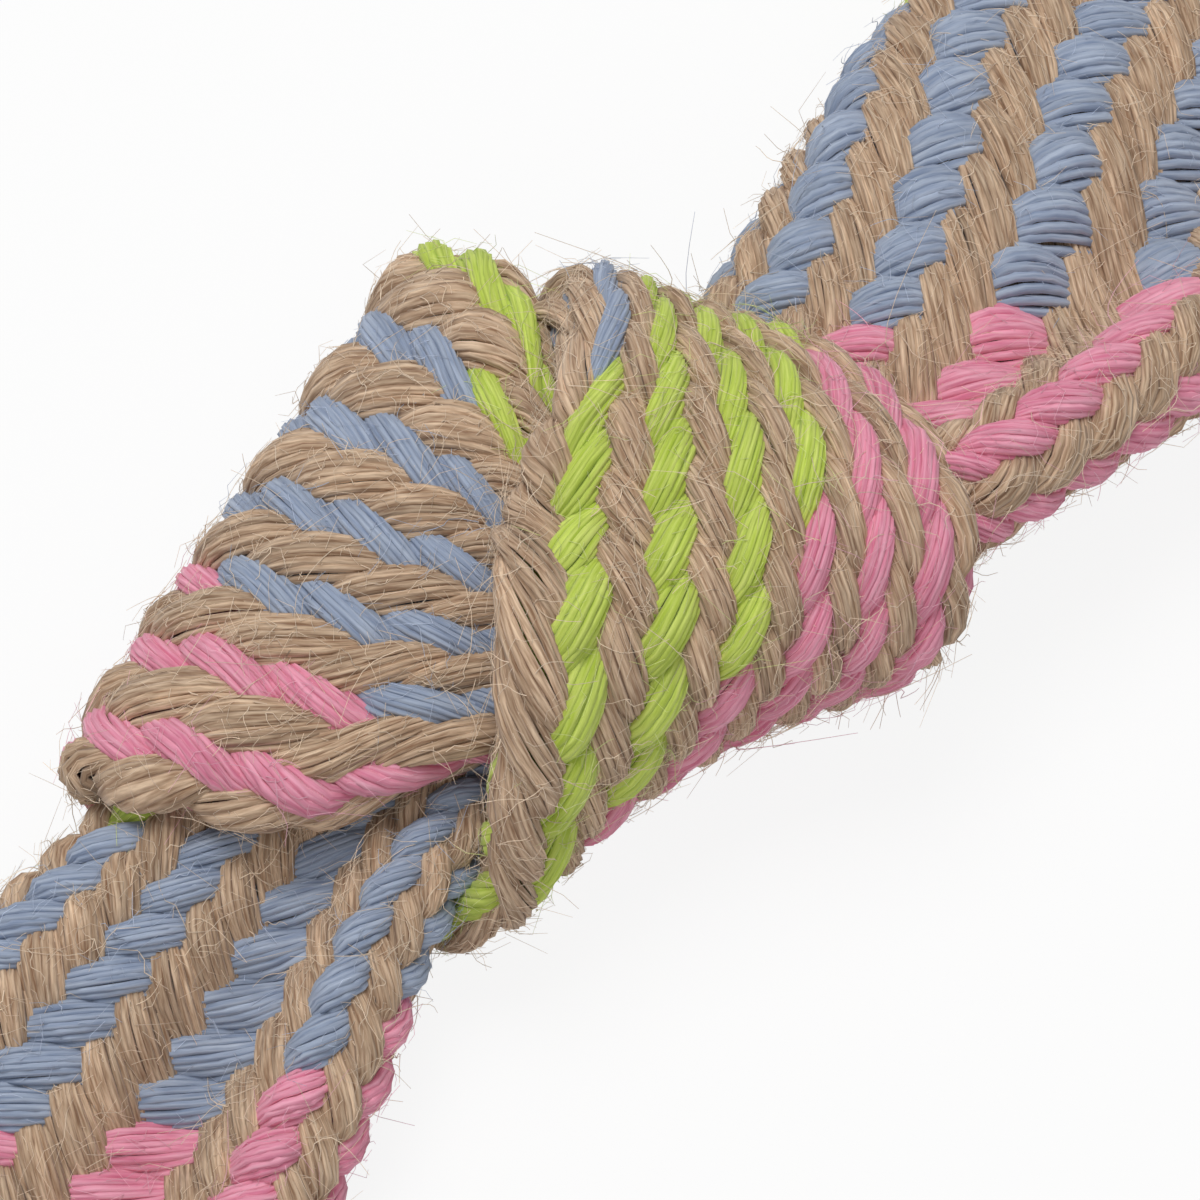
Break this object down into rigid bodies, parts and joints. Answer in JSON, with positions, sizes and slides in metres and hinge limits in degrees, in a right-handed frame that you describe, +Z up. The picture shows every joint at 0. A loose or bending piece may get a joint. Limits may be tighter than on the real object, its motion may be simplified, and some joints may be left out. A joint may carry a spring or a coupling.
{
  "type": "rope dog toy",
  "caption": "Flat braided hemp and cotton rope toy for a dog, with an overhand knot near each end, bound tails and frayed tassels; it bends and twists along its length.",
  "frame": {"origin": "centre of the toy's box, on the surface that it lies on", "axes": "+X along the rope from the tassel of knot a to the tassel of knot b, +Z up from the surface"},
  "size_m": [0.548, 0.085, 0.034],
  "materials": {
    "braid": "fuzzy matte",
    "twine": "fuzzy matte",
    "hemp": "fuzzy matte",
    "blue_cotton": "soft matte",
    "green_cotton": "soft matte",
    "pink_cotton": "soft matte"
  },
  "bodies": {
    "strap_middle": {"strap_middle": "braid"},
    "strap_a": {"strap_a": "braid"},
    "knot_a": {"knot_a_entry": "braid", "knot_a_side_turn": "braid", "knot_a_back_pass": "braid", "knot_a_front_wrap": "braid", "knot_a_tuck": "braid"},
    "tail_a": {"tail_a": "braid", "whipping_a": "twine"},
    "tassel_a": {"tassel_a_hemp": "hemp", "tassel_a_blue": "blue_cotton", "tassel_a_green": "green_cotton", "tassel_a_pink": "pink_cotton"},
    "strap_b": {"strap_b": "braid"},
    "knot_b": {"knot_b_entry": "braid", "knot_b_side_turn": "braid", "knot_b_back_pass": "braid", "knot_b_front_wrap": "braid", "knot_b_tuck": "braid"},
    "tail_b": {"tail_b": "braid", "whipping_b": "twine"},
    "tassel_b": {"tassel_b_hemp": "hemp", "tassel_b_blue": "blue_cotton", "tassel_b_green": "green_cotton", "tassel_b_pink": "pink_cotton"}
  },
  "joints": [
    {"name": "middle_bend", "type": "hinge", "parent": "strap_middle", "child": "strap_a", "pos_m": [-0.017, 0, 0.007], "axis": [0, 1, 0], "range_deg": [-40, 40]},
    {"name": "middle_twist", "type": "hinge", "parent": "strap_middle", "child": "strap_b", "pos_m": [0.017, 0, 0.007], "axis": [1, 0, 0], "range_deg": [-60, 60]},
    {"name": "knot_a_bend", "type": "hinge", "parent": "strap_a", "child": "knot_a", "pos_m": [-0.0495, 0, 0.011], "axis": [0, 1, 0], "range_deg": [-40, 40]},
    {"name": "knot_b_bend", "type": "hinge", "parent": "strap_b", "child": "knot_b", "pos_m": [0.0495, 0, 0.011], "axis": [0, 1, 0], "range_deg": [-40, 40]},
    {"name": "tail_a_bend", "type": "hinge", "parent": "knot_a", "child": "tail_a", "pos_m": [-0.18, 0.0155, 0.0068], "axis": [0, 1, 0], "range_deg": [-40, 40]},
    {"name": "tail_b_bend", "type": "hinge", "parent": "knot_b", "child": "tail_b", "pos_m": [0.18, -0.0155, 0.0068], "axis": [0, 1, 0], "range_deg": [-40, 40]},
    {"name": "tassel_a_bend", "type": "hinge", "parent": "tail_a", "child": "tassel_a", "pos_m": [-0.224, 0.0155, 0.009], "axis": [0, 1, 0], "range_deg": [-40, 40]},
    {"name": "tassel_b_bend", "type": "hinge", "parent": "tail_b", "child": "tassel_b", "pos_m": [0.224, -0.0155, 0.009], "axis": [0, 1, 0], "range_deg": [-40, 40]}
  ]
}
